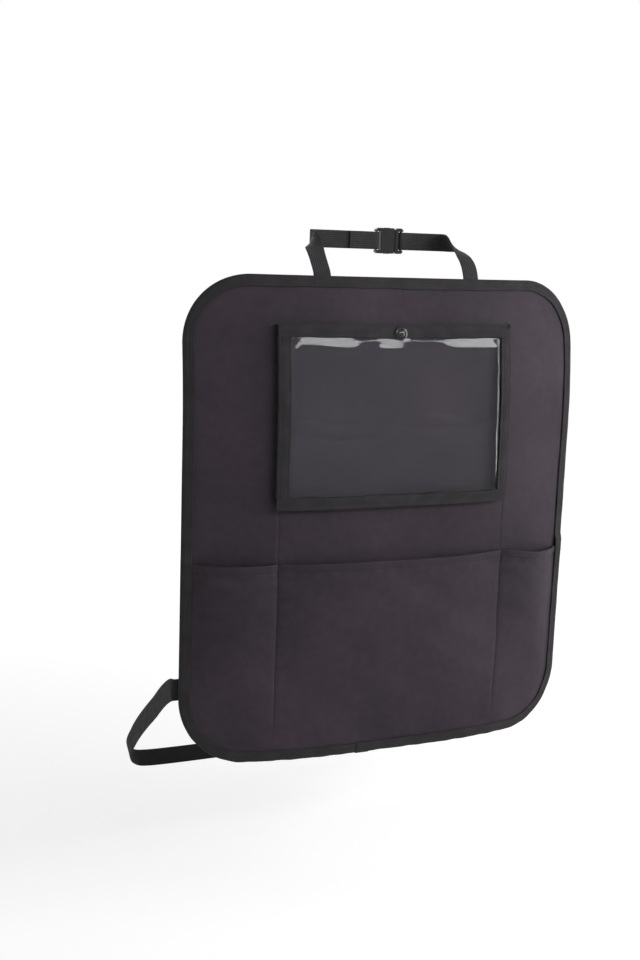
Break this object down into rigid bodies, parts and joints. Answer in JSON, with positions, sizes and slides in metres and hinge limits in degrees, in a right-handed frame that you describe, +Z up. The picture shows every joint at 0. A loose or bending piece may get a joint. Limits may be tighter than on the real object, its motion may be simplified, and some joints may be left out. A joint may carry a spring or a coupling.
{
  "type": "car seat back protector",
  "caption": "Cloth panel that hangs on the back of a car's front seat, with a clear film tablet pocket above a wide lower pocket, and buckled straps.",
  "frame": {"origin": "midway between the two headrest posts, at the middle height of the strap's run between them", "axes": "+Z up, +Y forwards to the seat, so that -Y faces the rear passenger, and +X to the right as that passenger sees the panel"},
  "size_m": [0.4982, 0.2725, 0.6885],
  "materials": {
    "cloth": "smooth coated polyester cloth, satin",
    "tape": "ribbed woven binding tape, matte",
    "webbing": "ribbed woven webbing, matte",
    "hard_plastic": "moulded plastic, semi-gloss",
    "clear_film": "clear soft vinyl film, glossy"
  },
  "bodies": {
    "root": {"back_panel": "cloth", "edge_binding": "tape", "lower_pocket": "cloth", "tablet_gusset": "tape", "window_film": "clear_film", "window_tape_top": "tape", "window_tape_bottom": "tape", "window_tape_left": "tape", "window_tape_right": "tape", "snap_cap": "hard_plastic", "snap_socket": "hard_plastic", "snap_stud": "hard_plastic", "snap_back_cap": "hard_plastic", "top_strap_left": "webbing", "top_strap_right": "webbing", "top_buckle_socket": "hard_plastic", "top_buckle_plug": "hard_plastic", "side_strap_left": "webbing", "side_strap_right": "webbing", "side_buckle_socket": "hard_plastic", "side_buckle_plug": "hard_plastic"}
  },
  "joints": []
}
